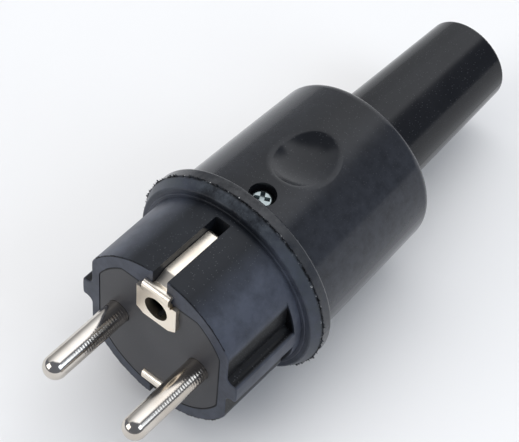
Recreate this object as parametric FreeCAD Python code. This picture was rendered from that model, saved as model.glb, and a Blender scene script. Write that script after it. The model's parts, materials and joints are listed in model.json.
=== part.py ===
import FreeCAD, Part
import math
import os

# Rewirable rubber mains plug with two round pins, lying on its side.
# Millimetres. Origin at the centre of the engagement face.
# +Y runs from the face back to the cord end, +Z is up towards the earth hole, +X is right.

V = FreeCAD.Vector
BACK = V(0, 1, 0)
UP = V(0, 0, 1)
RIGHT = V(1, 0, 0)

# Pins and their terminal blocks
pin_pitch = 19.0
pin_dia = 4.8
pin_reach = 19.0
pin_tip_flat = 0.05
pin_neck_dia = 4.3
pin_fit = 0.05
block_size = 7.0
block_len = 11.0
block_sink = 0.7
block_gap = 0.2
block_round = 0.5
wire_bore_dia = 3.4
wire_bore_depth = 8.0

# Nose and flange of the front housing
nose_r = 18.5
nose_len = 18.5
nose_edge_round = 0.3
flange_step = 3.1
front_flange_t = 2.2
front_flange_slope = 1.2
front_flange_round = 0.4
joint_round = 0.15
root_ring_step = 0.8
root_ring_t = 0.3
root_ring_round = 0.15

# Side recesses with the guide rib between them
recess_depth = 2.3
recess_end = 2.2
recess_blend = 3.0
recess_corner = 1.3
rib_w = 4.5
rib_round = 0.6

# Slots for the earth strips
slot_w = 3.4
slot_end = 1.5
slot_end_round = 0.4

# Hard insert and the walls between it and the outside of the nose
ring_wall = 2.7
side_wall = 4.3
top_wall = 5.4
insert_corner = 2.0
insert_edge_round = 0.25
insert_gap = 0.15
collar_catch = 1.4
collar_t = 2.0
core_gap = 0.8
core_len = 12.0
channel_half_w = 4.2
channel_wall = 3.7
ridge_h = 1.4

# Bent earth contacts
sheet_t = 0.8
sheet_bend_r = 0.55
strip_w = 3.2
strip_gap = 0.1
strip_depth = 2.45
strip_fall = 0.2
strip_foot_len = 0.8
strip_foot_dip = 0.7
strip_ramp_len = 3.3
strip_drop_len = 1.1
tang_sink = 0.7
lip_w = 6.2
lip_depth = 2.9
lip_proud = 0.5
lip_rise = 0.6
plate_w = 9.2
plate_under = 3.8
plate_over = 0.3
plate_notch = 0.8
plate_corner_w = 1.7
plate_corner_h = 1.0
plate_corner_round = 0.3
hook_set = 3.3
hook_depth = 5.0
lower_lip_h = 1.6

# Earth hole, its sleeve, the bridge and the earth terminal
earth_hole_set = 3.1
earth_hole_dia = 5.2
earth_sleeve_t = 0.35
earth_sleeve_end = 2.5
earth_sleeve_slit = 1.0
bridge_w = 5.0
bridge_t = 1.0
bridge_set = 0.3
bridge_gap = 0.1
bridge_round = 1.0
earth_screw_drop = 5.0
earth_washer_size = 7.0
earth_washer_t = 1.0
earth_washer_round = 0.6

# Terminal screws
terminal_screw_dia = 3.4
terminal_head_dia = 5.4
terminal_head_h = 1.8
terminal_tip_gap = 0.2
earth_screw_len = 7.5
head_round = 0.6
driver_slot_w = 0.9
driver_slot_depth = 0.8
cross_len = 3.0
screw_gap = 0.1

# Rear cover and cord sleeve
rear_rim_t = 2.5
rear_rim_round = 0.5
rim_step = 2.35
cover_taper = 1.15
cover_bulge = 0.06
cover_len = 37.5
cover_end_round = 2.0
cover_wall = 3.4
cover_end_wall = 4.2
hollow_round = 1.5
cord_bore_dia = 12.0
cord_lead = 3.0
sleeve_wall = 3.2
sleeve_taper = 1.4
sleeve_root_round = 0.8
sleeve_end_round = 0.4
sleeve_len = 36.8
cover_turn = 4.4
dish_set = 18.0
dish_ball_r = 14.0
dish_depth = 2.2
dish_rim_round = 1.8

# Screw and nut of the rear cover
cover_screw_set = 5.4
cover_screw_dia = 3.0
cover_screw_len = 7.5
cover_screw_past_nut = 0.9
cover_screw_turn = 30.0
cover_head_dia = 4.7
cover_head_h = 1.3
cover_head_round = 0.9
cover_hole_dia = 5.3
cover_head_depth = 1.4
cover_boss_dia = 9.0
cover_boss_gap = 0.2
nut_size = 5.5
nut_h = 2.4
nut_gap = 0.15
lug_floor = 3.4
lug_len = 8.4

# Cord clamp
clamp_from_end = 11.7
clamp_len = 6.0
clamp_squeeze = 0.8
clamp_wall = 2.0
clamp_foot_t = 2.4
clamp_screw_set = 4.1
clamp_screw_dia = 2.9
clamp_screw_len = 9.0
clamp_head_dia = 4.4
clamp_head_h = 1.8
clamp_edge = 2.2
saddle_len = 8.0
saddle_drop = 0.8
saddle_gap = 0.5
rail_set = 3.6
rail_half_w = 9.0
rail_t = 3.5

# How far a cutting solid runs past the face it opens
past = 1.0

# Radii from the nose outwards and inwards
flange_r = nose_r + flange_step
cover_front_r = flange_r - rim_step
cover_rear_r = cover_front_r - cover_taper
cavity_front_r = cover_front_r - cover_wall
cavity_rear_r = cover_rear_r - cover_wall
collar_r = cavity_front_r + collar_catch
core_r = cavity_front_r - core_gap
saddle_r = cavity_rear_r - saddle_gap
recess_floor = nose_r - recess_depth
insert_r = nose_r - ring_wall
insert_half_w = nose_r - side_wall
insert_top = nose_r - top_wall
cord_bore_r = cord_bore_dia / 2
cord_grip_r = cord_bore_r - clamp_squeeze
sleeve_end_r = cord_bore_r + sleeve_wall
sleeve_root_r = sleeve_end_r + sleeve_taper
earth_sleeve_r = earth_hole_dia / 2 + earth_sleeve_t

# Places along the axis
recess_len = nose_len - recess_end
slot_len = nose_len - slot_end
joint_y = nose_len + front_flange_t
collar_y = joint_y - collar_t
block_y = collar_y - block_sink
terminal_y = block_y + block_len - wire_bore_depth / 2
core_end = joint_y + core_len
bridge_y = joint_y + bridge_set
bridge_back = bridge_y + bridge_t
lug_y = bridge_back + bridge_gap
rim_end = joint_y + rear_rim_t
cover_end = joint_y + cover_len
sleeve_end = cover_end + sleeve_len
cover_screw_y = joint_y + cover_screw_set
dish_y = joint_y + dish_set
clamp_y = cover_end - clamp_from_end
earth_sleeve_len = slot_len - earth_sleeve_end

# Heights above the axis
strip_front_z = nose_r - strip_depth
strip_rear_z = strip_front_z - strip_fall
lip_top = nose_r - lip_depth
tang_z = insert_top - tang_sink
earth_z = insert_top - earth_hole_set
plate_high = insert_top + plate_over
plate_low = earth_z - plate_under
hook_z = insert_r - hook_set
lip_low = hook_z + lower_lip_h
lower_slot_floor = lip_low - sheet_bend_r - strip_gap
bridge_half_h = tang_z - sheet_t / 2
channel_floor = core_r - channel_wall
head_seat_z = cover_front_r - cover_head_depth - cover_head_h
nut_z = head_seat_z - cover_screw_len + cover_screw_past_nut
channel_top = nut_z - lug_floor
saddle_low = saddle_r - rail_set
clamp_screw_x = cord_grip_r + clamp_screw_set
saddle_half_w = clamp_screw_x + clamp_edge


def in_yz(a, b):
    return V(0, a, b)


def in_xz(a, b):
    return V(a, 0, b)


def in_xy(a, b):
    return V(a, b, 0)


def arc(start, mid, stop):
    return Part.Arc(start, mid, stop).toShape()


def line(start, stop):
    return Part.LineSegment(start, stop).toShape()


def unit(vector):
    return V(vector).normalize()


def rounded_face(corners, place):
    # Flat face inside a closed outline; each corner is (a, b, round).
    joins = []
    for i, (a, b, round_r) in enumerate(corners):
        here = V(a, b, 0)
        before = V(corners[i - 1][0], corners[i - 1][1], 0)
        after = V(corners[(i + 1) % len(corners)][0], corners[(i + 1) % len(corners)][1], 0)
        if round_r <= 0:
            joins.append((here, None, here))
            continue
        to_before = unit(before - here)
        to_after = unit(after - here)
        half = to_before.getAngle(to_after) / 2
        middle = unit(to_before + to_after)
        reach = round_r / math.tan(half)
        centre = here + middle * (round_r / math.sin(half))
        joins.append((here + to_before * reach, centre - middle * round_r, here + to_after * reach))
    edges = []
    for i, (start, mid, stop) in enumerate(joins):
        following = joins[(i + 1) % len(joins)][0]
        if mid:
            edges.append(arc(*[place(p.x, p.y) for p in (start, mid, stop)]))
        if (following - stop).Length > 1e-6:
            edges.append(line(place(stop.x, stop.y), place(following.x, following.y)))
    return Part.Face(Part.Wire(edges))


def turned(corners):
    # Solid turned about the plug's axis from corners (radius, y, round).
    return rounded_face(corners, in_xy).revolve(V(0, 0, 0), BACK, 360)


def prism_y(corners, y0, y1):
    # Outline in X and Z, carried from y0 to y1.
    face = rounded_face(corners, in_xz)
    face.translate(BACK * y0)
    return face.extrude(BACK * (y1 - y0))


def prism_z(corners, z0, z1):
    # Outline in X and Y, carried from z0 to z1.
    face = rounded_face(corners, in_xy)
    face.translate(UP * z0)
    return face.extrude(UP * (z1 - z0))


def block(x0, x1, y0, y1, z0, z1):
    return Part.makeBox(x1 - x0, y1 - y0, z1 - z0, V(x0, y0, z0))


def rod(r, start, direction, length):
    return Part.makeCylinder(r, length, start, direction)


def mirrored(shape, normal):
    return shape.mirror(V(0, 0, 0), normal)


def bent_sheet(path, thickness, bend_r, width):
    # Sheet of one thickness bent along a path of (y, z) points, centred on x = 0.
    left = []
    right = []
    for i, (y, z) in enumerate(path):
        here = V(y, z, 0)
        before = V(*path[max(i - 1, 0)], 0)
        after = V(*path[min(i + 1, len(path) - 1)], 0)
        come = unit(here - before) if i > 0 else unit(after - here)
        leave = unit(after - here) if i < len(path) - 1 else come
        normal = unit(V(-come.y, come.x, 0) + V(-leave.y, leave.x, 0))
        turn = come.x * leave.y - come.y * leave.x
        mitre = thickness / 2 / math.cos(come.getAngle(leave) / 2)
        bend = 0 if abs(turn) < 1e-9 else math.copysign(thickness / 2, turn)
        base = 0 if bend == 0 else bend_r
        outer = here + normal * mitre
        inner = here - normal * mitre
        left.append((outer.x, outer.y, base - bend))
        right.append((inner.x, inner.y, base + bend))
    face = rounded_face(left + right[::-1], in_yz)
    face.translate(RIGHT * (-width / 2))
    return face.extrude(RIGHT * width)


def rounded_along_y(shape, round_r):
    # Rounds every straight edge that runs along the axis.
    edges = []
    for edge in shape.Edges:
        if isinstance(edge.Curve, Part.Line) and abs(edge.Curve.Direction.y) > 0.999:
            edges.append(edge)
    return shape.makeFillet(round_r, edges)


def rounded_front(shape, round_r):
    # Rounds the outline of the front face, which lies at y = 0.
    edges = [edge for edge in shape.Edges if abs(edge.BoundBox.YMax) < 1e-6]
    return shape.makeFillet(round_r, edges)


def insert_prism(grow, y0, y1):
    # Outline of the insert: a round with flat sides and a flat top, and soft corners.
    r = insert_r + grow
    half_w = insert_half_w + grow
    solid = rod(r, BACK * y0, BACK, y1 - y0)
    solid = solid.common(block(-half_w, half_w, y0, y1, -r, insert_top + grow))
    return rounded_along_y(solid, insert_corner)


def with_cover(shape):
    # Carries a shape round the axis to where the cover's screw and dish sit.
    shape.rotate(V(0, 0, 0), BACK, cover_turn)
    return shape


def slot_floor(side):
    return insert_top if side > 0 else lower_slot_floor


def earth_slot(side):
    # Straight space for one earth strip, open at the face.
    outline = [
        (-slot_w / 2, -past, 0),
        (slot_w / 2, -past, 0),
        (slot_w / 2, slot_len, slot_end_round),
        (-slot_w / 2, slot_len, slot_end_round),
    ]
    slot = prism_z(outline, slot_floor(side), nose_r + past)
    return slot if side > 0 else mirrored(slot, UP)


def nose_quarter():
    # Upper right quarter of the nose's outline: round top, soft blend, flat recess, rounded rib.
    half_rib = rib_w / 2
    top = UP * nose_r
    side = RIGHT * nose_r
    inner_r = nose_r - recess_blend
    blend_x = recess_floor - recess_blend
    blend = V(blend_x, 0, math.sqrt(inner_r ** 2 - blend_x ** 2))
    blend_on_nose = unit(blend) * nose_r
    blend_mid = blend + unit(unit(blend) + RIGHT) * recess_blend
    blend_on_floor = blend + RIGHT * recess_blend
    corner = V(recess_floor + recess_corner, 0, half_rib + recess_corner)
    corner_mid = corner - unit(RIGHT + UP) * recess_corner
    rib_z = half_rib - rib_round
    rib = V(math.sqrt((nose_r - rib_round) ** 2 - rib_z ** 2), 0, rib_z)
    rib_on_side = rib + UP * rib_round
    rib_mid = rib + unit(unit(rib) + UP) * rib_round
    rib_on_nose = unit(rib) * nose_r
    corner_top = corner - RIGHT * recess_corner
    corner_low = corner - UP * recess_corner
    return [
        arc(top, unit(top + blend_on_nose) * nose_r, blend_on_nose),
        arc(blend_on_nose, blend_mid, blend_on_floor),
        line(blend_on_floor, corner_top),
        arc(corner_top, corner_mid, corner_low),
        line(corner_low, rib_on_side),
        arc(rib_on_side, rib_mid, rib_on_nose),
        arc(rib_on_nose, unit(rib_on_nose + side) * nose_r, side),
    ]


def make_front_housing():
    edges = []
    for edge in nose_quarter():
        lower = mirrored(edge, UP)
        edges += [edge, lower, mirrored(edge, RIGHT), mirrored(lower, RIGHT)]
    outline = Part.Face(Part.Wire(Part.__sortEdges__(edges)))
    nose = rounded_front(outline.extrude(BACK * recess_len), nose_edge_round)
    flange = turned([
        (0, recess_len, 0),
        (nose_r, recess_len, 0),
        (nose_r, nose_len - root_ring_t, 0),
        (nose_r + root_ring_step, nose_len - root_ring_t, root_ring_round),
        (nose_r + root_ring_step, nose_len, 0),
        (flange_r - front_flange_slope, nose_len, front_flange_round),
        (flange_r, joint_y, joint_round),
        (0, joint_y, 0),
    ])
    cuts = [insert_prism(insert_gap, -past, joint_y + past)]
    cuts.append(rod(collar_r + insert_gap, BACK * (collar_y - insert_gap), BACK, collar_t + past))
    cuts += [earth_slot(1), earth_slot(-1)]
    return nose.fuse(flange).cut(cuts)


def tang_channel(side):
    # Passage for the rear end of an earth strip, through to the bridge.
    half_w = strip_w / 2 + strip_gap
    low = tang_z - sheet_t / 2 - strip_gap
    high = slot_floor(side) + insert_gap
    channel = block(-half_w, half_w, slot_len - 2 * strip_drop_len, lug_y, low, high)
    return channel if side > 0 else mirrored(channel, UP)


def terminal_pocket(side):
    # Square pocket that keeps a pin's block from turning, open above to reach its screw.
    x = side * pin_pitch / 2
    half = block_size / 2 + block_gap
    inner = min(abs(x - half), abs(x + half))
    pocket = block(x - half, x + half, block_y, core_end + past, -half, half)
    near, far = sorted((side * inner, side * (collar_r + past)))
    shoulder = block(near, far, joint_y, core_end + past, half, collar_r + past)
    return pocket.fuse(shoulder)


def cord_saddle():
    # Rail behind the core with a cradle for the cord and two screw posts.
    start = core_end - past
    front = clamp_y - saddle_len / 2
    back = clamp_y + saddle_len / 2
    rail = block(-rail_half_w, rail_half_w, start, clamp_y, -saddle_low, -saddle_low + rail_t)
    saddle = block(-saddle_half_w, saddle_half_w, front, back, -saddle_low, -saddle_drop)
    saddle = rail.fuse(saddle).common(rod(saddle_r, BACK * start, BACK, back - start))
    saddle = saddle.cut(rod(cord_grip_r, BACK * start, BACK, back - start + past))
    depth = clamp_screw_len - clamp_foot_t + screw_gap
    for x in (-clamp_screw_x, clamp_screw_x):
        saddle = saddle.cut(rod(clamp_screw_dia / 2 + screw_gap, V(x, clamp_y, -saddle_drop), -UP, depth))
    return saddle


def make_contact_insert():
    body = rounded_front(insert_prism(0, 0, collar_y + past), insert_edge_round)
    body = body.fuse(rod(collar_r, BACK * collar_y, BACK, collar_t))
    body = body.fuse(rod(core_r, BACK * collar_y, BACK, core_end - collar_y))
    body = body.cut([earth_slot(-1), tang_channel(1), tang_channel(-1)])
    ridge_half_w = slot_w / 2 - insert_gap
    ridge_end = slot_len - 2 * strip_drop_len
    body = body.fuse(block(-ridge_half_w, ridge_half_w, strip_ramp_len, ridge_end,
                           insert_top - past, insert_top + ridge_h))
    cuts = [terminal_pocket(1), terminal_pocket(-1)]
    for x in (-pin_pitch / 2, pin_pitch / 2):
        cuts.append(rod(pin_dia / 2 + pin_fit, V(x, -past, 0), BACK, block_y + 2 * past))
    cuts.append(rod(earth_sleeve_r + pin_fit, V(0, -past, earth_z), BACK,
                    earth_sleeve_len + past + screw_gap))
    hook_half_w = lip_w / 2 + strip_gap
    hook_half_t = sheet_t / 2 + strip_gap
    cuts.append(block(-hook_half_w, hook_half_w, -past, hook_depth + strip_gap,
                      -hook_z - hook_half_t, -hook_z + hook_half_t))
    cuts.append(block(-hook_half_w, hook_half_w, -past, sheet_bend_r,
                      -hook_z - sheet_bend_r - strip_gap, -hook_z))
    cuts.append(block(-channel_half_w, channel_half_w, bridge_y, core_end + past,
                      -channel_floor, channel_top))
    bridge_half_w = bridge_w / 2 + bridge_gap
    cuts.append(block(-bridge_half_w, bridge_half_w, bridge_y, lug_y,
                      -bridge_half_h - bridge_gap, bridge_half_h + bridge_gap))
    cuts.append(block(-channel_half_w, channel_half_w, lug_y + lug_len, core_end + past,
                      channel_top - past, collar_r))
    nut_half = nut_size / 2 + nut_gap
    cuts.append(with_cover(block(-nut_half, nut_half, cover_screw_y - nut_half, core_end + past,
                                 nut_z - nut_gap, nut_z + nut_h + nut_gap)))
    screw_tip_z = head_seat_z - cover_screw_len - screw_gap
    screw_hole = rod(cover_screw_dia / 2 + screw_gap, V(0, cover_screw_y, screw_tip_z), UP, collar_r)
    cuts.append(with_cover(screw_hole))
    earth_tip_y = bridge_back + earth_washer_t - earth_screw_len - screw_gap
    cuts.append(rod(terminal_screw_dia / 2 + screw_gap, V(0, earth_tip_y, -earth_screw_drop), BACK,
                    earth_screw_len))
    return body.cut(cuts).fuse(cord_saddle())


def make_pin(side):
    r = pin_dia / 2
    pin = turned([
        (0, -pin_reach, 0),
        (r, -pin_reach, r - pin_tip_flat),
        (r, 0, 0),
        (pin_neck_dia / 2, 0, 0),
        (pin_neck_dia / 2, block_y, 0),
        (0, block_y, 0),
    ])
    half = block_size / 2
    head = block(-half, half, block_y, block_y + block_len, -half, half)
    pin = pin.fuse(rounded_along_y(head, block_round))
    wire_start = block_y + block_len - wire_bore_depth
    pin = pin.cut(rod(wire_bore_dia / 2, BACK * wire_start, BACK, wire_bore_depth + past))
    pin = pin.cut(rod(terminal_screw_dia / 2, BACK * terminal_y, UP, block_size))
    pin.translate(RIGHT * (side * pin_pitch / 2))
    return pin


def screw(head_dia, head_h, round_r, shank_dia, shank_len, cross):
    # Screw along +Z with the underside of its head at z = 0 and its shank below.
    head = turned([(0, 0, 0), (head_dia / 2, 0, 0), (head_dia / 2, head_h, round_r), (0, head_h, 0)])
    head.rotate(V(0, 0, 0), RIGHT, 90)
    body = head.fuse(rod(shank_dia / 2, V(0, 0, 0), -UP, shank_len))
    slot_half = driver_slot_w / 2
    reach = cross_len / 2 if cross else head_dia
    low = head_h - driver_slot_depth
    body = body.cut(block(-reach, reach, -slot_half, slot_half, low, head_h + past))
    if cross:
        body = body.cut(block(-slot_half, slot_half, -reach, reach, low, head_h + past))
    return body


def make_terminal_screw(side):
    shank_len = block_size / 2 - terminal_tip_gap
    piece = screw(terminal_head_dia, terminal_head_h, head_round, terminal_screw_dia, shank_len, False)
    piece.translate(V(side * pin_pitch / 2, terminal_y, block_size / 2))
    return piece


def make_earth_screw():
    piece = screw(terminal_head_dia, terminal_head_h, head_round, terminal_screw_dia, earth_screw_len,
                  False)
    piece.rotate(V(0, 0, 0), RIGHT, -90)
    piece.translate(V(0, bridge_back + earth_washer_t, -earth_screw_drop))
    return piece


def rounded_plate(half_w, half_h, round_r, y0, thickness):
    outline = [
        (-half_w, -half_h, round_r),
        (half_w, -half_h, round_r),
        (half_w, half_h, round_r),
        (-half_w, half_h, round_r),
    ]
    return prism_y(outline, y0, y0 + thickness)


def make_earth_washer():
    half = earth_washer_size / 2
    washer = rounded_plate(half, half, earth_washer_round, bridge_back, earth_washer_t)
    hole_r = terminal_screw_dia / 2 + screw_gap
    washer = washer.cut(rod(hole_r, BACK * (bridge_back - past), BACK, earth_washer_t + 2 * past))
    washer.translate(UP * -earth_screw_drop)
    return washer


def strip_path(side, foot_z):
    # The spring strip from the foot of its ramp to its tang, above or below the axis.
    drop_y = slot_len - strip_drop_len - sheet_t
    return [
        (strip_foot_len, side * foot_z),
        (strip_ramp_len, side * strip_front_z),
        (drop_y, side * strip_rear_z),
        (drop_y + strip_drop_len, side * tang_z),
        (bridge_back, side * tang_z),
    ]


def make_upper_contact():
    on_face = -sheet_t / 2
    path = [
        (on_face, plate_low),
        (on_face, plate_high),
        (on_face - lip_proud, plate_high + lip_rise),
        (on_face - lip_proud, lip_top),
    ]
    sheet = bent_sheet(path + strip_path(1, lip_top - strip_foot_dip), sheet_t, sheet_bend_r, plate_w)
    half_plate = plate_w / 2
    half_lip = lip_w / 2
    front = prism_y([
        (-half_plate, plate_low + plate_corner_h, plate_corner_round),
        (-half_plate + plate_corner_w, plate_low, plate_corner_round),
        (half_plate - plate_corner_w, plate_low, plate_corner_round),
        (half_plate, plate_low + plate_corner_h, plate_corner_round),
        (half_plate, plate_high, 0),
        (half_lip + plate_notch, plate_high, 0),
        (half_lip, plate_high - plate_notch, 0),
        (half_lip, nose_r, 0),
        (-half_lip, nose_r, 0),
        (-half_lip, plate_high - plate_notch, 0),
        (-half_lip - plate_notch, plate_high, 0),
        (-half_plate, plate_high, 0),
    ], -pin_reach, 0)
    top = block(-strip_w / 2, strip_w / 2, 0, bridge_back + past, 0, nose_r)
    hole = rod(earth_hole_dia / 2, V(0, -pin_reach, earth_z), BACK, pin_reach + past)
    return sheet.common(front.fuse(top)).cut(hole)


def make_lower_contact():
    on_face = -sheet_t / 2
    path = [
        (hook_depth, -hook_z),
        (on_face, -hook_z),
        (on_face, -lip_low),
    ]
    sheet = bent_sheet(path + strip_path(-1, lip_low), sheet_t, sheet_bend_r, lip_w)
    half_lip = lip_w / 2
    front = block(-half_lip, half_lip, -past - sheet_t, 0, -nose_r, 0)
    hook = block(-half_lip, half_lip, -past, hook_depth, -hook_z - sheet_t, 0)
    low = block(-strip_w / 2, strip_w / 2, 0, bridge_back + past, -nose_r, 0)
    return sheet.common(front.fuse([hook, low]))


def make_earth_sleeve():
    sleeve = rod(earth_sleeve_r, UP * earth_z, BACK, earth_sleeve_len)
    sleeve = sleeve.cut(rod(earth_hole_dia / 2, V(0, -past, earth_z), BACK, earth_sleeve_len + 2 * past))
    half = earth_sleeve_slit / 2
    low = earth_z - 2 * earth_sleeve_r
    return sleeve.cut(block(-half, half, -past, earth_sleeve_len + past, low, earth_z))


def make_earth_bridge():
    bridge = rounded_plate(bridge_w / 2, bridge_half_h, bridge_round, bridge_y, bridge_t)
    hole = rod(terminal_screw_dia / 2, V(0, bridge_y - past, -earth_screw_drop), BACK, bridge_t + 2 * past)
    return bridge.cut(hole)


def cover_side():
    # Centre (radius, y) and radius of the long arc that gives the cover its slight barrel.
    front = V(cover_front_r, rim_end, 0)
    rear = V(cover_rear_r, cover_end, 0)
    chord = rear - front
    outward = unit(V(chord.y, -chord.x, 0))
    arc_r = (chord.Length ** 2 / 4 + cover_bulge ** 2) / (2 * cover_bulge)
    return (front + rear) / 2 - outward * (arc_r - cover_bulge), arc_r


def cover_radius(y):
    centre, arc_r = cover_side()
    return centre.x + math.sqrt(arc_r ** 2 - (y - centre.y) ** 2)


def make_cover_body():
    # Turned body with the barrelled side, then the rim, the rounded end and the sleeve.
    mid_y = (rim_end + cover_end) / 2
    side = [V(cover_radius(y), y, 0) for y in (rim_end, mid_y, cover_end)]
    edges = [
        line(V(0, joint_y, 0), V(cover_front_r, joint_y, 0)),
        line(V(cover_front_r, joint_y, 0), side[0]),
        arc(*side),
        line(side[2], V(0, cover_end, 0)),
        line(V(0, cover_end, 0), V(0, joint_y, 0)),
    ]
    barrel = Part.Face(Part.Wire(edges)).revolve(V(0, 0, 0), BACK, 360)
    at_end = [edge for edge in barrel.Edges if edge.BoundBox.YMin > cover_end - past]
    rear_edge = [edge for edge in at_end if edge.Length > cover_rear_r]
    barrel = barrel.makeFillet(cover_end_round, rear_edge)
    rim = turned([
        (0, joint_y, 0),
        (flange_r, joint_y, joint_round),
        (flange_r, rim_end, rear_rim_round),
        (0, rim_end, 0),
    ])
    sleeve = turned([
        (0, cover_end - past, 0),
        (sleeve_root_r + 2 * sleeve_root_round, cover_end - past, 0),
        (sleeve_root_r + 2 * sleeve_root_round, cover_end, 0),
        (sleeve_root_r, cover_end, sleeve_root_round),
        (sleeve_end_r, sleeve_end, sleeve_end_round),
        (0, sleeve_end, 0),
    ])
    return barrel.fuse([rim, sleeve])


def make_rear_cover():
    hollow_end = cover_end - cover_end_wall
    hollow = turned([
        (0, joint_y - past, 0),
        (cavity_front_r, joint_y - past, 0),
        (cavity_rear_r, hollow_end, hollow_round),
        (cord_bore_r + cord_lead, hollow_end, 0),
        (cord_bore_r, cover_end, 0),
        (cord_bore_r, sleeve_end + past, 0),
        (0, sleeve_end + past, 0),
    ])
    boss = rod(cover_boss_dia / 2, V(0, cover_screw_y, core_r + cover_boss_gap), UP, cover_wall)
    hollow = hollow.cut(with_cover(boss))
    dish_centre = V(0, dish_y, cover_radius(dish_y) - dish_depth + dish_ball_r)
    cover = make_cover_body().cut(with_cover(Part.makeSphere(dish_ball_r, dish_centre)))
    dish_rim = []
    for face in cover.Faces:
        if isinstance(face.Surface, Part.Sphere):
            dish_rim += [edge for edge in face.Edges if not edge.Degenerated and not edge.isSeam(face)]
    cover = cover.makeFillet(dish_rim_round, dish_rim)
    head_hole = rod(cover_hole_dia / 2, V(0, cover_screw_y, head_seat_z), UP, cover_front_r)
    shank_hole = rod(cover_screw_dia / 2 + screw_gap, BACK * cover_screw_y, UP, cover_front_r)
    return cover.cut([hollow, with_cover(head_hole), with_cover(shank_hole)])


def make_cover_screw():
    piece = screw(cover_head_dia, cover_head_h, cover_head_round, cover_screw_dia, cover_screw_len, True)
    piece.rotate(V(0, 0, 0), UP, cover_screw_turn)
    piece.translate(V(0, cover_screw_y, head_seat_z))
    return with_cover(piece)


def make_cover_nut():
    half = nut_size / 2
    nut = block(-half, half, cover_screw_y - half, cover_screw_y + half, nut_z, nut_z + nut_h)
    return with_cover(nut.cut(rod(cover_screw_dia / 2, BACK * cover_screw_y, UP, collar_r)))


def make_cord_clamp():
    front = clamp_y - clamp_len / 2
    back = clamp_y + clamp_len / 2
    arch = rod(cord_grip_r + clamp_wall, BACK * front, BACK, clamp_len)
    foot = block(-saddle_half_w, saddle_half_w, front, back, -saddle_drop, clamp_foot_t - saddle_drop)
    keep = block(-saddle_r, saddle_r, front, back, -saddle_drop, saddle_r)
    strap = arch.common(keep).fuse(foot)
    strap = strap.cut(rod(cord_grip_r, BACK * (front - past), BACK, clamp_len + 2 * past))
    hole_r = clamp_screw_dia / 2 + screw_gap
    for x in (-clamp_screw_x, clamp_screw_x):
        strap = strap.cut(rod(hole_r, V(x, clamp_y, -saddle_drop - past), UP, clamp_foot_t + 2 * past))
    return strap


def make_clamp_screws():
    pair = []
    for x in (-clamp_screw_x, clamp_screw_x):
        piece = screw(clamp_head_dia, clamp_head_h, head_round, clamp_screw_dia, clamp_screw_len, True)
        piece.translate(V(x, clamp_y, clamp_foot_t - saddle_drop))
        pair.append(piece)
    return Part.makeCompound(pair)


pieces = {
    "front_housing": make_front_housing(),
    "contact_insert": make_contact_insert(),
    "rear_cover": make_rear_cover(),
    "line_pin": make_pin(-1),
    "neutral_pin": make_pin(1),
    "line_terminal_screw": make_terminal_screw(-1),
    "neutral_terminal_screw": make_terminal_screw(1),
    "upper_earth_contact": make_upper_contact(),
    "lower_earth_contact": make_lower_contact(),
    "earth_socket_sleeve": make_earth_sleeve(),
    "earth_bridge": make_earth_bridge(),
    "earth_clamp_washer": make_earth_washer(),
    "earth_terminal_screw": make_earth_screw(),
    "cover_screw": make_cover_screw(),
    "cover_nut": make_cover_nut(),
    "cord_clamp": make_cord_clamp(),
    "cord_clamp_screws": make_clamp_screws(),
}

os.makedirs("parts", exist_ok=True)
for name, shape in pieces.items():
    shape.exportStep("parts/" + name + ".step")
    print(name, "solids", len(shape.Solids), "valid", shape.isValid(), "volume", round(shape.Volume, 1))
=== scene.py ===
import json
import math

import bmesh
import bpy
import numpy as np
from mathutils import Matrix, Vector


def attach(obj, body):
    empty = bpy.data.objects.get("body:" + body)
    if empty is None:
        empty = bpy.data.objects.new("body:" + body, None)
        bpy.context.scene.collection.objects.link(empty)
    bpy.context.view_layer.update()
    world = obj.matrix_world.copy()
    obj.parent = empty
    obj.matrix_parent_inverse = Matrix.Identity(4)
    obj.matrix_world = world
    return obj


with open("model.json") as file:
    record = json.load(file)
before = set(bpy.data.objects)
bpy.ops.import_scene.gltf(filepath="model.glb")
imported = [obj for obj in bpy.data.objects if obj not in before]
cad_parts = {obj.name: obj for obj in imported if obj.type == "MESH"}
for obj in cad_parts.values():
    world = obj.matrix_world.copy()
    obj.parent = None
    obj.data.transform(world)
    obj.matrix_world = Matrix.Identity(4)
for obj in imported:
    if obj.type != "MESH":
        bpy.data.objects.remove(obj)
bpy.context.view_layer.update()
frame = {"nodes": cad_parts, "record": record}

# Rubber mains plug on a pale floor: +Y runs from its face back to the cord end, +Z is up.
scene = bpy.context.scene
nodes = frame["nodes"]
mm = 0.001
print("frame loaded with", len(nodes), "nodes")


# Adds a shader node; an input is either a plain value or a socket to link from.
def addNode(tree, kind, inputs=None, **settings):
    made = tree.nodes.new(kind)
    for key, value in settings.items():
        setattr(made, key, value)
    for key, value in (inputs or {}).items():
        if isinstance(value, bpy.types.NodeSocket):
            tree.links.new(value, made.inputs[key])
        else:
            made.inputs[key].default_value = value
    return made


def calc(tree, operation, *values):
    return addNode(tree, "ShaderNodeMath", dict(enumerate(values)), operation=operation).outputs[0]


def vectorCalc(tree, operation, *values):
    return addNode(tree, "ShaderNodeVectorMath", dict(enumerate(values)), operation=operation).outputs


def splitAxes(tree, vector):
    return addNode(tree, "ShaderNodeSeparateXYZ", {"Vector": vector}).outputs


def noise(tree, vector, scale, detail, roughness=0.5, twist=0.0):
    shape = {"Vector": vector, "Scale": scale, "Detail": detail, "Roughness": roughness, "Distortion": twist}
    return addNode(tree, "ShaderNodeTexNoise", shape).outputs[0]


# Carries a value between two limits over to another range, and holds it there.
def remap(tree, value, fromMin, fromMax, toMin=0.0, toMax=1.0):
    spread = {"Value": value, "From Min": fromMin, "From Max": fromMax, "To Min": toMin, "To Max": toMax}
    return addNode(tree, "ShaderNodeMapRange", spread).outputs["Result"]


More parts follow.
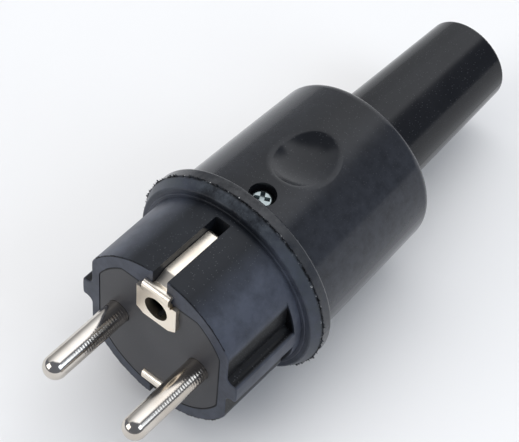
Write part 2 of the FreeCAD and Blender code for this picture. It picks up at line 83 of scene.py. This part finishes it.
def smoothStep(tree, value, fromMin, fromMax):
    spread = {"Value": value, "From Min": fromMin, "From Max": fromMax}
    return addNode(tree, "ShaderNodeMapRange", spread, interpolation_type="SMOOTHSTEP").outputs["Result"]


# The numbered sockets are the share, both colours and the blended colour.
def blendColour(tree, share, first, second):
    return addNode(tree, "ShaderNodeMix", {0: share, 6: first, 7: second}, data_type="RGBA").outputs[2]


def rgba(colour):
    return (*colour, 1.0)


# Distance from an axis along Y through the vector's zero.
def reachFromAxis(tree, vector):
    across = vectorCalc(tree, "MULTIPLY", vector, (1, 0, 1))[0]
    return vectorCalc(tree, "LENGTH", across)["Value"]


def startGroup(name, vectors, values, outputs):
    group = bpy.data.node_groups.new(name, "ShaderNodeTree")
    for socketName in vectors:
        group.interface.new_socket(socketName, in_out="INPUT", socket_type="NodeSocketVector")
    for socketName in values:
        group.interface.new_socket(socketName, in_out="INPUT", socket_type="NodeSocketFloat")
    for socketName in outputs:
        group.interface.new_socket(socketName, in_out="OUTPUT", socket_type="NodeSocketFloat")
    entry = group.nodes.new("NodeGroupInput")
    leave = group.nodes.new("NodeGroupOutput")
    return group, entry.outputs, leave.inputs


grainShape = {"fineDetail": 3.0, "fineRough": 0.6, "slowShare": 0.045, "slowDetail": 4.0, "slowRough": 0.55,
              "slowTwist": 0.4, "toneFrom": 0.3, "toneTo": 0.7}


# Moulded skin: fine grain for the bump, slow cloudy tone for colour and gloss.
def mouldGrainGroup(shape):
    group, given, result = startGroup("mouldGrain", ("Vector",), ("Scale",), ("Height", "Tone"))
    fine = noise(group, given["Vector"], given["Scale"], shape["fineDetail"], shape["fineRough"])
    slowScale = calc(group, "MULTIPLY", given["Scale"], shape["slowShare"])
    slow = noise(group, given["Vector"], slowScale,
                 shape["slowDetail"], shape["slowRough"], shape["slowTwist"])
    group.links.new(fine, result["Height"])
    group.links.new(remap(group, slow, shape["toneFrom"], shape["toneTo"]), result["Tone"])
    return group


# Dust: one round speck in a random share of the cells.
def dustSpecksGroup():
    group, given, result = startGroup("dustSpecks", ("Vector",), ("Scale", "Radius", "Share"), ("Mask",))
    cells = addNode(group, "ShaderNodeTexVoronoi", {"Vector": given["Vector"], "Scale": given["Scale"]})
    dot = calc(group, "LESS_THAN", cells.outputs["Distance"], given["Radius"])
    pick = addNode(group, "ShaderNodeSeparateColor", {"Color": cells.outputs["Color"]})
    chosen = calc(group, "LESS_THAN", pick.outputs[0], given["Share"])
    group.links.new(calc(group, "MULTIPLY", dot, chosen), result["Mask"])
    return group


rubShape = {"detail": 4.0, "rough": 0.7, "patchFrom": 0.34, "patchTo": 0.58}


# Rubbed rim: a patchy band beyond a given distance from the plug's axis.
def rimRubGroup(shape):
    group, given, result = startGroup("rimRub", ("Vector",), ("Radius", "Width", "Scale"), ("Mask",))
    outer = calc(group, "ADD", given["Radius"], given["Width"])
    band = remap(group, reachFromAxis(group, given["Vector"]), given["Radius"], outer)
    cloud = noise(group, given["Vector"], given["Scale"], shape["detail"], shape["rough"])
    patch = remap(group, cloud, shape["patchFrom"], shape["patchTo"])
    group.links.new(calc(group, "MULTIPLY", band, patch), result["Mask"])
    return group


bloomSheenShape = {"detail": 5.0, "rough": 0.65, "patchFrom": 0.30, "patchTo": 0.62, "thinnest": 0.48,
             "skinBlend": 0.5 * mm, "hollowFrom": 12 * mm, "hollowTo": 13 * mm}


# Bloom with painted sheen, and painted shade, on the flanks. The lighter film, partly rubber bloom and partly
# painted sheen, is cloudy, grows with the distance from the plug's upright middle plane, lies on skin beyond
# a given distance from the axis and on what stands in front of a given Y. The dark is painted shade in
# hollows of the flanks, nearer to the axis than that skin.
def flankBloomSheenGroup(shape):
    group, given, result = startGroup(
        "flankBloomSheen", ("Vector",), ("From", "To", "Beyond", "Front", "Scale"), ("BloomSheen", "HollowShade"))
    place = splitAxes(group, given["Vector"])
    aside = calc(group, "ABSOLUTE", place["X"])
    grown = remap(group, aside, given["From"], given["To"])
    past = calc(group, "SUBTRACT", reachFromAxis(group, given["Vector"]), given["Beyond"])
    skin = remap(group, past, 0.0, shape["skinBlend"])
    cloud = noise(group, given["Vector"], given["Scale"], shape["detail"], shape["rough"])
    patchy = remap(group, cloud, shape["patchFrom"], shape["patchTo"], shape["thinnest"], 1.0)
    face = calc(group, "LESS_THAN", place["Y"], given["Front"])
    bloomSheen = calc(group, "MAXIMUM", calc(group, "MULTIPLY", grown, skin), face)
    flank = calc(group, "MULTIPLY", remap(group, aside, shape["hollowFrom"], shape["hollowTo"]),
                 calc(group, "SUBTRACT", 1.0, face))
    group.links.new(calc(group, "MULTIPLY", bloomSheen, patchy), result["BloomSheen"])
    group.links.new(calc(group, "MULTIPLY", flank, calc(group, "SUBTRACT", 1.0, skin)), result["HollowShade"])
    return group


grimeShape = {"detail": 3.0, "rough": 0.6, "fullWithin": 0.4, "shadeFrom": 0.40, "shadeTo": 0.56,
              "shadeLeast": 0.25, "fleckFull": 0.34, "fleckNone": 0.37}


# Grime and pale flecks caught in the flange's joint: patchy bands on both sides of one Y.
def jointGrimeGroup(shape):
    group, given, result = startGroup("jointGrime", ("Vector",), ("At", "Width", "Scale"), ("Shade", "Fleck"))
    along = splitAxes(group, given["Vector"])["Y"]
    off = calc(group, "ABSOLUTE", calc(group, "SUBTRACT", along, given["At"]))
    band = remap(group, calc(group, "DIVIDE", off, given["Width"]), shape["fullWithin"], 1.0, 1.0, 0.0)
    patch = noise(group, given["Vector"], given["Scale"], shape["detail"], shape["rough"])
    shade = remap(group, patch, shape["shadeFrom"], shape["shadeTo"], shape["shadeLeast"], 1.0)
    fleck = remap(group, patch, shape["fleckFull"], shape["fleckNone"], 1.0, 0.0)
    group.links.new(calc(group, "MULTIPLY", band, shade), result["Shade"])
    group.links.new(calc(group, "MULTIPLY", band, fleck), result["Fleck"])
    return group


scratchShape = {"detail": 3.0, "rough": 0.65, "cloudShare": 0.12, "cloudDetail": 3.0, "toneFrom": 0.35,
                "toneTo": 0.65}


# Drawn and handled metal: long fine scratches along the stretched direction.
def fineScratchGroup(shape):
    group, given, result = startGroup("fineScratch", ("Vector", "Stretch"), ("Scale",), ("Height", "Tone"))
    pulled = vectorCalc(group, "MULTIPLY", given["Vector"], given["Stretch"])[0]
    lines = noise(group, pulled, given["Scale"], shape["detail"], shape["rough"])
    cloudScale = calc(group, "MULTIPLY", given["Scale"], shape["cloudShare"])
    cloud = noise(group, given["Vector"], cloudScale, shape["cloudDetail"])
    group.links.new(lines, result["Height"])
    group.links.new(remap(group, cloud, shape["toneFrom"], shape["toneTo"]), result["Tone"])
    return group


mouldGrain = mouldGrainGroup(grainShape)
dustSpecks = dustSpecksGroup()
rimRub = rimRubGroup(rubShape)
flankBloomSheen = flankBloomSheenGroup(bloomSheenShape)
jointGrime = jointGrimeGroup(grimeShape)
fineScratch = fineScratchGroup(scratchShape)
print("shared finishes made")


def useGroup(tree, group, inputs):
    return addNode(tree, "ShaderNodeGroup", inputs, node_tree=group).outputs


def startMaterial(name, fixed):
    material = bpy.data.materials.new(name)
    material.use_nodes = True
    tree = material.node_tree
    shader = tree.nodes["Principled BSDF"]
    for socketName, value in fixed.items():
        shader.inputs[socketName].default_value = value
    place = tree.nodes.new("ShaderNodeTexCoord").outputs["Object"]
    return material, tree, shader, place


def feed(tree, shader, colour, roughness, height, depth):
    bump = addNode(tree, "ShaderNodeBump", {"Height": height, "Distance": depth, "Strength": 1.0})
    tree.links.new(colour, shader.inputs["Base Color"])
    tree.links.new(roughness, shader.inputs["Roughness"])
    tree.links.new(bump.outputs["Normal"], shader.inputs["Normal"])


speckShape = {"powderRadius": 0.20, "dustRoughness": 0.8}


# Moulded rubber or plastic: cloudy colour, bloom with painted sheen on the flanks, painted shade in the flank
# hollows, rubbed rim, grime, dust, grain bump.
def mouldedMaterial(name, look):
    material, tree, shader, place = startMaterial(name, {"Specular IOR Level": look["specular"]})
    grain = useGroup(tree, mouldGrain, {"Vector": place, "Scale": look["grain"]})
    dust = useGroup(tree, dustSpecks, {"Vector": place, "Scale": look["dustScale"],
                                       "Radius": look["dustRadius"], "Share": look["dustShare"]})
    powder = useGroup(tree, dustSpecks, {"Vector": place, "Scale": look["powderScale"],
                                         "Radius": speckShape["powderRadius"], "Share": look["powderShare"]})
    rub = useGroup(tree, rimRub, {"Vector": place, "Radius": look["rubFrom"], "Width": look["rubWidth"],
                                  "Scale": look["rubScale"]})
    colour = blendColour(tree, grain["Tone"], rgba(look["dark"]), rgba(look["light"]))
    # The lighter bluish film is partly rubber bloom and partly painted sheen on the flanks and the front
    # face.
    if "bloomSheen" in look:
        flank = useGroup(tree, flankBloomSheen, {"Vector": place, "From": look["bloomSheenFrom"], "To": look["bloomSheenTo"],
                                           "Beyond": look["bloomSheenBeyond"], "Front": look["bloomSheenFront"],
                                           "Scale": look["bloomSheenScale"]})
        colour = blendColour(tree, flank["BloomSheen"], colour, rgba(look["bloomSheen"]))
        # Painted shade: the hollows of the flanks are darkened with the grime colour.
        colour = blendColour(tree, flank["HollowShade"], colour, rgba(look["shadeAndGrime"]))
    colour = blendColour(tree, rub["Mask"], colour, rgba(look["rubbed"]))
    if "joint" in look:
        joint = useGroup(tree, jointGrime, {"Vector": place, "At": look["joint"], "Width": look["jointWidth"],
                                            "Scale": look["jointScale"]})
        colour = blendColour(tree, joint["Shade"], colour, rgba(look["shadeAndGrime"]))
        colour = blendColour(tree, joint["Fleck"], colour, rgba(look["dust"]))
    colour = blendColour(tree, powder["Mask"], colour, rgba(look["powder"]))
    colour = blendColour(tree, dust["Mask"], colour, rgba(look["dust"]))
    gloss = remap(tree, grain["Tone"], 0.0, 1.0, look["smooth"], look["dull"])
    gloss = calc(tree, "MAXIMUM", gloss, calc(tree, "MULTIPLY", dust["Mask"], speckShape["dustRoughness"]))
    feed(tree, shader, colour, gloss, grain["Height"], look["grainDepth"])
    return material


coverLook = {
    "dark": (0.0080, 0.0088, 0.0110), "light": (0.0112, 0.0122, 0.0148), "specular": 0.25,
    "smooth": 0.14, "dull": 0.19, "grain": 2600, "grainDepth": 0.0025 * mm,
    # The film colour is partly bloom and partly painted sheen, growing towards the grazing flanks.
    "bloomSheen": (0.043, 0.047, 0.058), "bloomSheenFrom": 2 * mm, "bloomSheenTo": 20 * mm, "bloomSheenBeyond": 12 * mm,
    "bloomSheenFront": -1.0, "bloomSheenScale": 500,  # nothing stands that far in front, so the face gets none of the bloom and painted sheen
    "rubbed": (0.045, 0.047, 0.051), "rubFrom": 21.2 * mm, "rubWidth": 0.5 * mm, "rubScale": 420,
    "joint": 20.7 * mm, "jointWidth": 0.30 * mm, "jointScale": 1500, "shadeAndGrime": (0.003, 0.003, 0.004),
    "dust": (0.46, 0.46, 0.46), "dustScale": 260, "dustRadius": 0.060, "dustShare": 0.05,
    "powder": (0.050, 0.052, 0.058), "powderScale": 2600, "powderShare": 0.34,
}
frontLook = {
    "dark": (0.007, 0.0085, 0.012), "light": (0.013, 0.0155, 0.0205), "specular": 0.22,
    "smooth": 0.34, "dull": 0.44, "grain": 2300, "grainDepth": 0.005 * mm,
    # The film colour is partly bloom and partly painted sheen of the bluish fill on the flanks and the face.
    "bloomSheen": (0.064, 0.073, 0.099), "bloomSheenFrom": 6.5 * mm, "bloomSheenTo": 12 * mm, "bloomSheenBeyond": 17.9 * mm,
    "bloomSheenFront": 0.15 * mm, "bloomSheenScale": 260,
    "rubbed": (0.052, 0.061, 0.074), "rubFrom": 19.6 * mm, "rubWidth": 1.4 * mm, "rubScale": 300,
    # The grime colour serves as grime in the flange's joint and as painted shade in the flank hollows.
    "joint": 20.7 * mm, "jointWidth": 0.45 * mm, "jointScale": 1300, "shadeAndGrime": (0.004, 0.0045, 0.006),
    "dust": (0.48, 0.48, 0.48), "dustScale": 280, "dustRadius": 0.055, "dustShare": 0.05,
    "powder": (0.070, 0.075, 0.084), "powderScale": 2600, "powderShare": 0.30,
}
insertLook = {
    "dark": (0.040, 0.040, 0.045), "light": (0.049, 0.049, 0.055), "specular": 0.5,
    "smooth": 0.46, "dull": 0.54, "grain": 3000, "grainDepth": 0.004 * mm,
    "rubbed": (0.080, 0.080, 0.086), "rubFrom": 15.4 * mm, "rubWidth": 1.0 * mm, "rubScale": 600,
    "dust": (0.40, 0.40, 0.40), "dustScale": 300, "dustRadius": 0.040, "dustShare": 0.05,
    "powder": (0.085, 0.085, 0.090), "powderScale": 2600, "powderShare": 0.14,
}
# Near-black rubber for painted shade: it colours the bead in the insert's gap and the nose fin, standing for
# the shade in that gap and the shadow line behind the fin.
shadeEdgeLook = {
    "dark": (0.0035, 0.004, 0.005), "light": (0.006, 0.007, 0.009), "specular": 0.2,
    "smooth": 0.45, "dull": 0.60, "grain": 3200, "grainDepth": 0.006 * mm,
    "rubbed": (0.03, 0.03, 0.034), "rubFrom": 18.6 * mm, "rubWidth": 0.3 * mm, "rubScale": 900,
    "dust": (0.30, 0.30, 0.30), "dustScale": 500, "dustRadius": 0.050, "dustShare": 0.04,
    "powder": (0.020, 0.021, 0.024), "powderScale": 2600, "powderShare": 0.10,
}
coverRubber = mouldedMaterial("coverRubber", coverLook)
frontRubber = mouldedMaterial("frontRubber", frontLook)
insertPlastic = mouldedMaterial("insertPlastic", insertLook)
shadeEdgeRubber = mouldedMaterial("shadeEdgeRubber", shadeEdgeLook)


# Tool rings of a turned pin: a sine of Y, shaken by the scratches, faded out towards the tip and kept to
# the side that points to +X.
def toolRings(tree, place, scratch, look):
    spot = splitAxes(tree, place)
    turns = calc(tree, "MULTIPLY", spot["Y"], 2 * math.pi / look["ringPitch"])
    ring = calc(tree, "SINE", calc(tree, "MULTIPLY_ADD", scratch["Height"], look["ringJitter"], turns))
    fade = remap(tree, spot["Y"], look["ringFrom"], look["ringTo"], 0.0, look["ringHeight"])
    axis = calc(tree, "MULTIPLY", calc(tree, "SIGN", spot["X"]), look["ringAxis"])
    worn = remap(tree, calc(tree, "SUBTRACT", spot["X"], axis), look["sideFrom"], look["sideTo"])
    return calc(tree, "MULTIPLY_ADD", ring, calc(tree, "MULTIPLY", fade, worn), scratch["Height"])


# Painted shade inside the earth hole: it grows with Y within a given distance from the hole's axis.
def holeShadeMask(tree, place, look):
    reach = reachFromAxis(tree, vectorCalc(tree, "SUBTRACT", place, look["holeShadeAxis"])[0])
    within = calc(tree, "LESS_THAN", reach, look["holeShadeRadius"])
    sunk = remap(tree, splitAxes(tree, place)["Y"], look["holeShadeFrom"], look["holeShadeFull"])
    return calc(tree, "MULTIPLY", within, sunk)


# Plated metal: fine scratches and cloudy tarnish, with tool rings or painted shade in the earth hole where
# the look has them.
def platedMaterial(name, look):
    material, tree, shader, place = startMaterial(name, {"Metallic": 1.0})
    scratch = useGroup(tree, fineScratch, {"Vector": place, "Scale": look["scratch"],
                                           "Stretch": look["stretch"]})
    colour = blendColour(tree, scratch["Tone"], rgba(look["bright"]), rgba(look["tarnish"]))
    gloss = remap(tree, scratch["Tone"], 0.0, 1.0, look["smooth"], look["dull"])
    height = toolRings(tree, place, scratch, look) if "ringPitch" in look else scratch["Height"]
    if "holeShade" in look:
        colour = blendColour(tree, holeShadeMask(tree, place, look), colour, rgba(look["holeShade"]))
    feed(tree, shader, colour, gloss, height, look["depth"])
    return material


pinLook = {
    "bright": (0.68, 0.64, 0.59), "tarnish": (0.54, 0.49, 0.43), "smooth": 0.10, "dull": 0.16,
    "scratch": 900, "stretch": (1.0, 6.0, 1.0), "depth": 0.0015 * mm,
    "ringPitch": 0.60 * mm, "ringFrom": -14.5 * mm, "ringTo": -3 * mm, "ringHeight": 4.6, "ringJitter": 5.0,
    "ringAxis": 9.5 * mm, "sideFrom": 0.6 * mm, "sideTo": 1.2 * mm,
}
contactLook = {
    "bright": (1.0, 0.92, 0.80), "tarnish": (0.98, 0.88, 0.74), "smooth": 0.29, "dull": 0.37,
    "scratch": 1500, "stretch": (0.15, 1.0, 1.0), "depth": 0.0012 * mm,
    # Painted shade inside the earth hole: near-black, deepening with Y.
    "holeShade": (0.02, 0.018, 0.016), "holeShadeAxis": (0, 0, 10 * mm), "holeShadeRadius": 3.1 * mm,
    "holeShadeFrom": 0.2 * mm, "holeShadeFull": 1.5 * mm,
}
screwLook = {
    "bright": (0.34, 0.385, 0.385), "tarnish": (0.18, 0.215, 0.22), "smooth": 0.22, "dull": 0.34,
    "scratch": 1800, "stretch": (1.0, 1.0, 0.2), "depth": 0.002 * mm,
}
clampLook = {
    "bright": (0.66, 0.67, 0.68), "tarnish": (0.52, 0.53, 0.53), "smooth": 0.26, "dull": 0.40,
    "scratch": 1400, "stretch": (0.2, 1.0, 1.0), "depth": 0.002 * mm,
}
pinNickel = platedMaterial("pinNickel", pinLook)
contactNickel = platedMaterial("contactNickel", contactLook)
screwZinc = platedMaterial("screwZinc", screwLook)
clampSteel = platedMaterial("clampSteel", clampLook)
finishOfSlot = {
    "front_rubber": frontRubber, "cover_rubber": coverRubber, "insert_plastic": insertPlastic,
    "pin_nickel": pinNickel, "contact_nickel": contactNickel, "screw_zinc": screwZinc,
    "clamp_steel": clampSteel,
}
for subpart in frame["record"]["subparts"]:
    for slot in nodes[subpart["node"]].material_slots:
        slot.material = finishOfSlot[subpart["material_slot"]]
print("finishes put on the CAD nodes")


# Turns an array of points, rows by columns, into a quad mesh; a wrapped direction joins its ends.
def gridObject(name, points, wrapRows=False, wrapColumns=False):
    rows, columns = points.shape[:2]
    index = np.arange(rows * columns).reshape(rows, columns)
    index = np.vstack((index, index[:1])) if wrapRows else index
    index = np.hstack((index, index[:, :1])) if wrapColumns else index
    corners = (index[:-1, :-1], index[1:, :-1], index[1:, 1:], index[:-1, 1:])
    quads = np.stack(corners, axis=-1).reshape(-1, 4)
    mesh = bpy.data.meshes.new(name)
    mesh.from_pydata(points.reshape(-1, 3).tolist(), [], quads.tolist())
    shell = bmesh.new()
    shell.from_mesh(mesh)
    bmesh.ops.recalc_face_normals(shell, faces=shell.faces)
    shell.to_mesh(mesh)
    shell.free()
    mesh.shade_smooth()
    made = bpy.data.objects.new(name, mesh)
    scene.collection.objects.link(made)
    return made


def anglesAround(steps):
    return np.linspace(0, 2 * np.pi, steps, endpoint=False)[:, None]


# Closed ring: a profile of radius and depth in millimetres for each angle, carried round the plug's axis.
def ringObject(name, angle, radius, depth):
    depth = np.broadcast_to(depth, radius.shape)
    points = np.stack((radius * np.sin(angle), depth, radius * np.cos(angle)), axis=-1) * mm
    return gridObject(name, points, wrapRows=True, wrapColumns=True)


# Sum of sines of the angle, each with its count of waves, phase and weight, over the sum of weights.
def waveSum(angle, waves):
    total = sum(weight * np.sin(count * angle + phase) for count, phase, weight in waves)
    return total / sum(weight for count, phase, weight in waves)


# Ragged height round the axis: the sum of sines, shifted and scaled, cut off between none and full, raised
# to a power and spread between the lowest and the highest height.
def raggedHeight(angle, size):
    ripple = waveSum(angle, size["waves"])
    share = np.clip(size["middle"] + size["swing"] * ripple, 0, 1) ** size["power"]
    return size["low"] + (size["high"] - size["low"]) * share


flash = {
    "joint": 20.7, "rootRadius": 21.4, "low": 0.10, "high": 0.68, "halfWidth": 0.11, "steps": 1800,
    "waves": ((23, 0.4, 1.0), (61, 1.9, 1.0), (139, 0.7, 1.0), (307, 2.6, 0.8)),
    "middle": 0.5, "swing": 0.75, "power": 1.4,
    "wander": 0.07, "wanderWaves": ((17, 2.2, 1.0), (83, 0.3, 1.0)),
    "outward": (0.0, 0.7, 1.0, 0.7, 0.0), "sideways": (-1.0, -0.55, 0.0, 0.55, 1.0),
}


# Thin ragged rubber fin in the joint of the flange: a tent-shaped profile carried round the axis, with a
# ragged height and a side wander that is a sum of sines of the angle.
def partingFlash(size):
    angle = anglesAround(size["steps"])
    side = size["wander"] * waveSum(angle, size["wanderWaves"])
    radius = size["rootRadius"] + raggedHeight(angle, size) * np.array(size["outward"])
    depth = size["joint"] + side + np.array(size["sideways"]) * size["halfWidth"]
    return ringObject("parting_flash", angle, radius, depth)


flashRing = partingFlash(flash)
flashRing.data.materials.append(frontRubber)
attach(flashRing, "root")
print("parting flash made")

seam = {
    "round": 15.875, "halfWidth": 14.275, "top": 13.175, "sharpness": 150, "bead": 0.22, "front": -0.008,
    "deep": 0.5, "steps": 1200, "sink": 0.22, "sinkFrom": 0.8, "sinkOver": 0.15,
    "across": (-1.0, -0.8, 0.0, 0.8, 1.0, 0.6, -0.6), "inward": (0.25, 0.02, 0.0, 0.02, 0.25, 1.0, 1.0),
}


# Near-black bead in the gap round the insert, painted shade of that gap: a blunt profile carried round the
# insert's outline, whose reach is the smooth least of a round, two flat sides and a flat top; the bead sinks
# along the left side.
def seamShadeBead(size):
    angle = anglesAround(size["steps"])
    side = (size["round"] * np.abs(np.sin(angle)) / size["halfWidth"]) ** size["sharpness"]
    high = (size["round"] * np.clip(np.cos(angle), 0, 1) / size["top"]) ** size["sharpness"]
    reach = size["round"] * (1 + side + high) ** (-1 / size["sharpness"])
    sunk = size["sink"] * np.clip((-np.sin(angle) - size["sinkFrom"]) / size["sinkOver"], 0, 1)
    radius = reach + size["bead"] * np.array(size["across"])
    depth = size["front"] + sunk + size["deep"] * np.array(size["inward"])
    return ringObject("insert_seam", angle, radius, depth)


seamRing = seamShadeBead(seam)
# Painted shade: the bead is near-black to draw the shade in the insert's gap.
seamRing.data.materials.append(shadeEdgeRubber)
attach(seamRing, "root")

noseFlash = {
    "root": 17.9, "skin": 18.45, "low": 0.02, "high": 0.26, "front": 0.02, "thick": 0.16, "steps": 3600,
    "waves": ((19, 1.1, 1.0), (47, 0.2, 1.0), (113, 2.3, 1.0), (251, 0.9, 0.7)),
    "middle": 0.45, "swing": 0.8, "power": 1.6, "slotHalf": 6.5, "flankFrom": 56.0, "fade": 1.0, "sunk": 5.5,
    "outward": (0.0, 0.85, 1.0, 0.85, 0.0), "across": (0.0, 0.1, 0.5, 0.9, 1.0),
}


# Ragged moulding fin round the nose's front edge: a thin leaf of ragged height carried round the axis; it
# dives under the skin within an angle of the earth slots and beyond an angle on the flanks, in degrees
# from the nearer end of the upright.
def noseFin(size):
    angle = anglesAround(size["steps"])
    fold = np.degrees(np.abs((angle + np.pi / 2) % np.pi - np.pi / 2))
    shown = (np.clip((fold - size["slotHalf"]) / size["fade"], 0, 1)
             * np.clip((size["flankFrom"] - fold) / size["fade"], 0, 1))
    crest = shown * (size["skin"] + raggedHeight(angle, size) - size["root"])
    radius = size["root"] - size["sunk"] * (1 - shown) + crest * np.array(size["outward"])
    depth = size["front"] + np.array(size["across"]) * size["thick"]
    return ringObject("nose_fin", angle, radius, depth)


finRing = noseFin(noseFlash)
# Painted shade: the fin is near-black to draw the shadow line behind it.
finRing.data.materials.append(shadeEdgeRubber)
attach(finRing, "root")
print("seam bead and nose fin made")


def meshPoints(node):
    flat = np.empty(3 * len(node.data.vertices), dtype=np.float32)
    node.data.vertices.foreach_get("co", flat)
    return flat.astype(float).reshape(-1, 3)


stand = {"half": 1.6, "steps": 9, "behindRim": 5 * mm}


# The slope on which the plug lies: a flat sheet through the flange's lowest point, turned about X until
# it meets the lowest point of what stands behind the flange.
def tableSheet(size):
    spread = np.concatenate([meshPoints(node) for node in nodes.values()])
    rim = spread[spread[:, 2].argmin()]
    behind = spread[spread[:, 1] > rim[1] + size["behindRim"]]
    rise = ((behind[:, 2] - rim[2]) / (behind[:, 1] - rim[1])).min()
    line = np.linspace(-1, 1, size["steps"]) * size["half"]
    across, along = np.meshgrid(line, line)
    points = np.stack((across, along, rim[2] + rise * (along - rim[1])), axis=-1)
    print("table slope", round(math.degrees(math.atan(rise)), 2), "degrees")
    return gridObject("table", points), rise


table, tableRise = tableSheet(stand)
tableUp = Vector((0, -tableRise, 1)).normalized()
if table.data.polygons[0].normal.dot(tableUp) < 0:
    table.data.flip_normals()
tableLook = {"bright": (0.86, 0.86, 0.865), "cloud": (0.83, 0.83, 0.835), "scale": 14, "detail": 3.0,
             "roughness": 0.8}
tableTop, tree, shader, place = startMaterial(
    "tableTop", {"Specular IOR Level": 0.0, "Roughness": tableLook["roughness"]})
cloud = noise(tree, place, tableLook["scale"], tableLook["detail"])
tree.links.new(blendColour(tree, cloud, rgba(tableLook["bright"]), rgba(tableLook["cloud"])),
               shader.inputs["Base Color"])
table.data.materials.append(tableTop)

room = {
    "dim": (0.18, 0.195, 0.23), "toward": (-0.45, 0.50, 0.74), "edge": 0.54, "full": 0.69,
    "frontFrom": -0.13, "frontTo": 0.19, "leftSlant": 1.3, "rightSlant": -0.6, "rightFrom": -0.2,
    "rearFrom": 0.42, "rearTo": 0.62, "rearSlant": 3.1, "rearAt": 0.53, "rearCap": 0.65,
    "window": ((-0.85, (0.44, 0.45, 0.46)), (-0.40, (1.42, 1.45, 1.50)), (0.30, (2.06, 2.10, 2.18))),
}
world = bpy.data.worlds.new("room")
scene.world = world
world.use_nodes = True
sky = world.node_tree
gaze = addNode(sky, "ShaderNodeTexCoord").outputs["Generated"]
way = splitAxes(sky, gaze)

# The room is dim but for one window, which grows brighter from left to right.
(farLeft, faint), (left, middle), (right, strong) = room["window"]
window = blendColour(sky, remap(sky, way["X"], farLeft, left), rgba(faint), rgba(middle))
window = blendColour(sky, remap(sky, way["X"], left, right), window, rgba(strong))

# The window is a cone of directions, cut off by a front limit that bends to the left and right and by a
# slanted rear limit.
cone = vectorCalc(sky, "DOT_PRODUCT", gaze, Vector(room["toward"]).normalized())["Value"]
leftward = calc(sky, "MAXIMUM", calc(sky, "SUBTRACT", left, way["X"]), 0.0)
rightward = calc(sky, "MAXIMUM", calc(sky, "SUBTRACT", way["X"], room["rightFrom"]), 0.0)
front = calc(sky, "MULTIPLY_ADD", leftward, room["leftSlant"], way["Y"])
front = calc(sky, "MULTIPLY_ADD", rightward, room["rightSlant"], front)
rear = calc(sky, "SUBTRACT", calc(sky, "MINIMUM", way["Y"], room["rearCap"]), room["rearAt"])
rear = calc(sky, "MULTIPLY_ADD", rear, room["rearSlant"], way["X"])
inside = calc(sky, "MULTIPLY", smoothStep(sky, cone, room["edge"], room["full"]),
              smoothStep(sky, front, room["frontFrom"], room["frontTo"]))
inside = calc(sky, "MULTIPLY", inside, smoothStep(sky, rear, room["rearTo"], room["rearFrom"]))
sky.links.new(blendColour(sky, inside, rgba(room["dim"]), window), sky.nodes["Background"].inputs["Color"])
sky.nodes["Background"].inputs["Strength"].default_value = 1.0

lampAim = (0, 35 * mm, 0)


# A square soft lamp set off from the plug's middle along a direction and turned to face it.
def softLamp(name, look):
    lamp = bpy.data.lights.new(name, "AREA")
    lamp.shape = "RECTANGLE"
    lamp.size, lamp.size_y = look["size"]
    lamp.energy = look["watts"]
    lamp.color = look["colour"]
    holder = bpy.data.objects.new(name, lamp)
    scene.collection.objects.link(holder)
    heading = Vector(look["toward"]).normalized()
    holder.location = Vector(lampAim) + heading * look["away"]
    holder.rotation_euler = heading.to_track_quat("Z", "Y").to_euler()
    return holder


keyLamp = {"toward": (-0.46, -0.76, 0.45), "away": 3.0, "size": (1.9, 1.9), "watts": 29,
           "colour": (1.0, 0.985, 0.96)}
fillLamp = {"toward": (0.82, 0.15, 0.56), "away": 3.0, "size": (1.6, 1.6), "watts": 22,
            "colour": (0.80, 0.89, 1.0)}
topLamp = {"toward": (0.10, 0.05, 1.0), "away": 3.0, "size": (4.5, 4.5), "watts": 58,
           "colour": (1.0, 0.976, 0.925)}
softLamp("key_lamp", keyLamp)
softLamp("fill_lamp", fillLamp)
softLamp("top_lamp", topLamp).visible_glossy = False  # lights the floor, leaves no patch on the gloss
print("table, room and lamps set")

photoCamera = {"place": (132.464, -156.673, 287.732), "turn": (39.0113, -3.3545, 39.7991), "lens": 135.58,
               "sensor": 36, "clipStart": 10 * mm}
lens = bpy.data.cameras.new("photo_camera")
lens.lens = photoCamera["lens"]
lens.sensor_width = photoCamera["sensor"]
lens.sensor_fit = "HORIZONTAL"
lens.clip_start = photoCamera["clipStart"]
viewer = bpy.data.objects.new("photo_camera", lens)
viewer.location = [value * mm for value in photoCamera["place"]]
viewer.rotation_euler = [math.radians(value) for value in photoCamera["turn"]]
scene.collection.objects.link(viewer)
scene.camera = viewer
scene.view_settings.view_transform = "Standard"
print("camera set")
